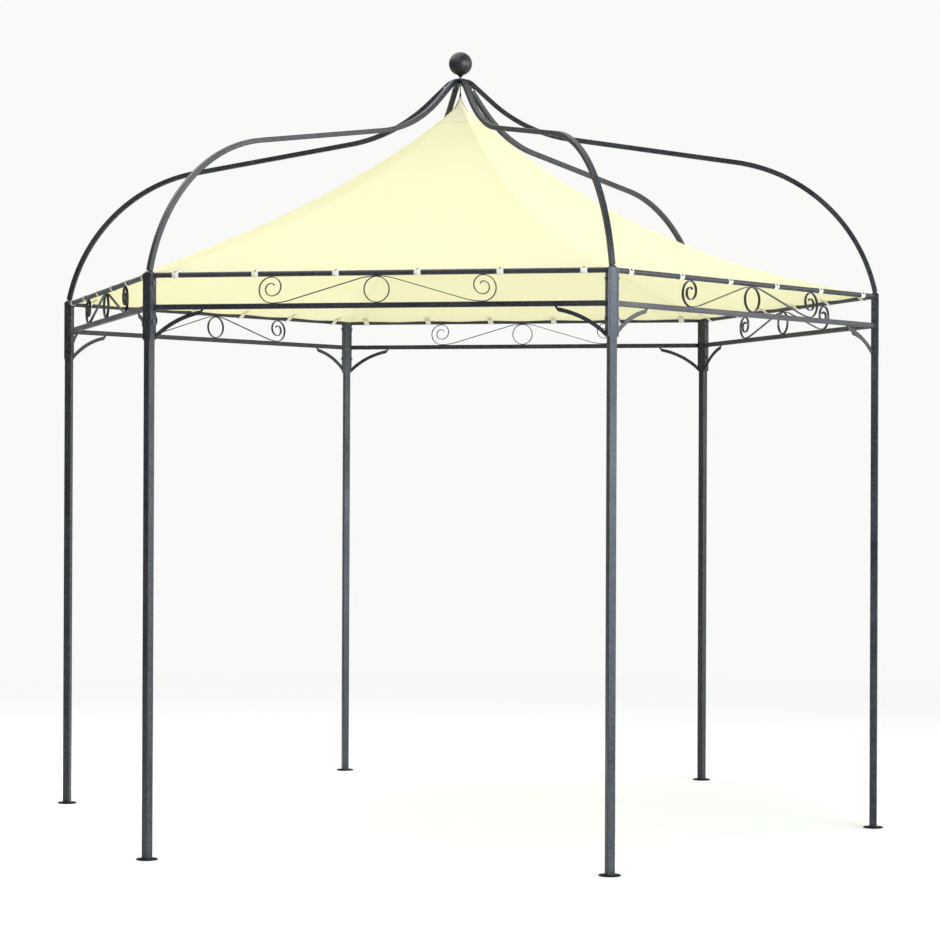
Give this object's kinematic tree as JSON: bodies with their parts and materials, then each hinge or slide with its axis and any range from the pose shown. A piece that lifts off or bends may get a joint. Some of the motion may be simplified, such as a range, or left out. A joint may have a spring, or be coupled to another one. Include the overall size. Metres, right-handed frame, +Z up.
{
  "type": "hexagonal metal gazebo",
  "caption": "Open hexagonal garden gazebo: square steel posts, scrolled rails with corner brackets, ogee roof ribs to a ball finial, and a hung fabric canopy.",
  "frame": {"origin": "on the ground at the middle of the six posts", "axes": "+Z up along the axis through the ball; +X towards one post; the front side faces -Y"},
  "size_m": [3.58, 3.1108, 3.248],
  "materials": {
    "frame": "speckled anthracite powder coat, satin",
    "ball": "satin black",
    "hook": "black zinc plate",
    "canopy": "plain-woven cream polyester",
    "loops": "off-white webbing"
  },
  "bodies": {
    "root": {"post_right": "frame", "post_back_right": "frame", "post_back_left": "frame", "post_left": "frame", "post_front_left": "frame", "post_front_right": "frame", "foot_plates": "frame", "panel_end_bars": "frame", "upper_rail_front": "frame", "upper_rail_front_right": "frame", "upper_rail_back_right": "frame", "upper_rail_back": "frame", "upper_rail_back_left": "frame", "upper_rail_front_left": "frame", "lower_rail_front": "frame", "lower_rail_front_right": "frame", "lower_rail_back_right": "frame", "lower_rail_back": "frame", "lower_rail_back_left": "frame", "lower_rail_front_left": "frame", "scrollwork_front": "frame", "scrollwork_front_right": "frame", "scrollwork_back_right": "frame", "scrollwork_back": "frame", "scrollwork_back_left": "frame", "scrollwork_front_left": "frame", "corner_brackets": "frame", "lower_rib_right": "frame", "lower_rib_back_right": "frame", "lower_rib_back_left": "frame", "lower_rib_left": "frame", "lower_rib_front_left": "frame", "lower_rib_front_right": "frame", "upper_rib_right": "frame", "upper_rib_back_right": "frame", "upper_rib_back_left": "frame", "upper_rib_left": "frame", "upper_rib_front_left": "frame", "upper_rib_front_right": "frame", "crown_hub": "frame", "ball_finial": "ball", "canopy_hook": "hook", "canopy_front": "canopy", "canopy_front_right": "canopy", "canopy_back_right": "canopy", "canopy_back": "canopy", "canopy_back_left": "canopy", "canopy_front_left": "canopy", "canopy_loops": "loops", "canopy_tip_strap": "loops"}
  },
  "joints": []
}
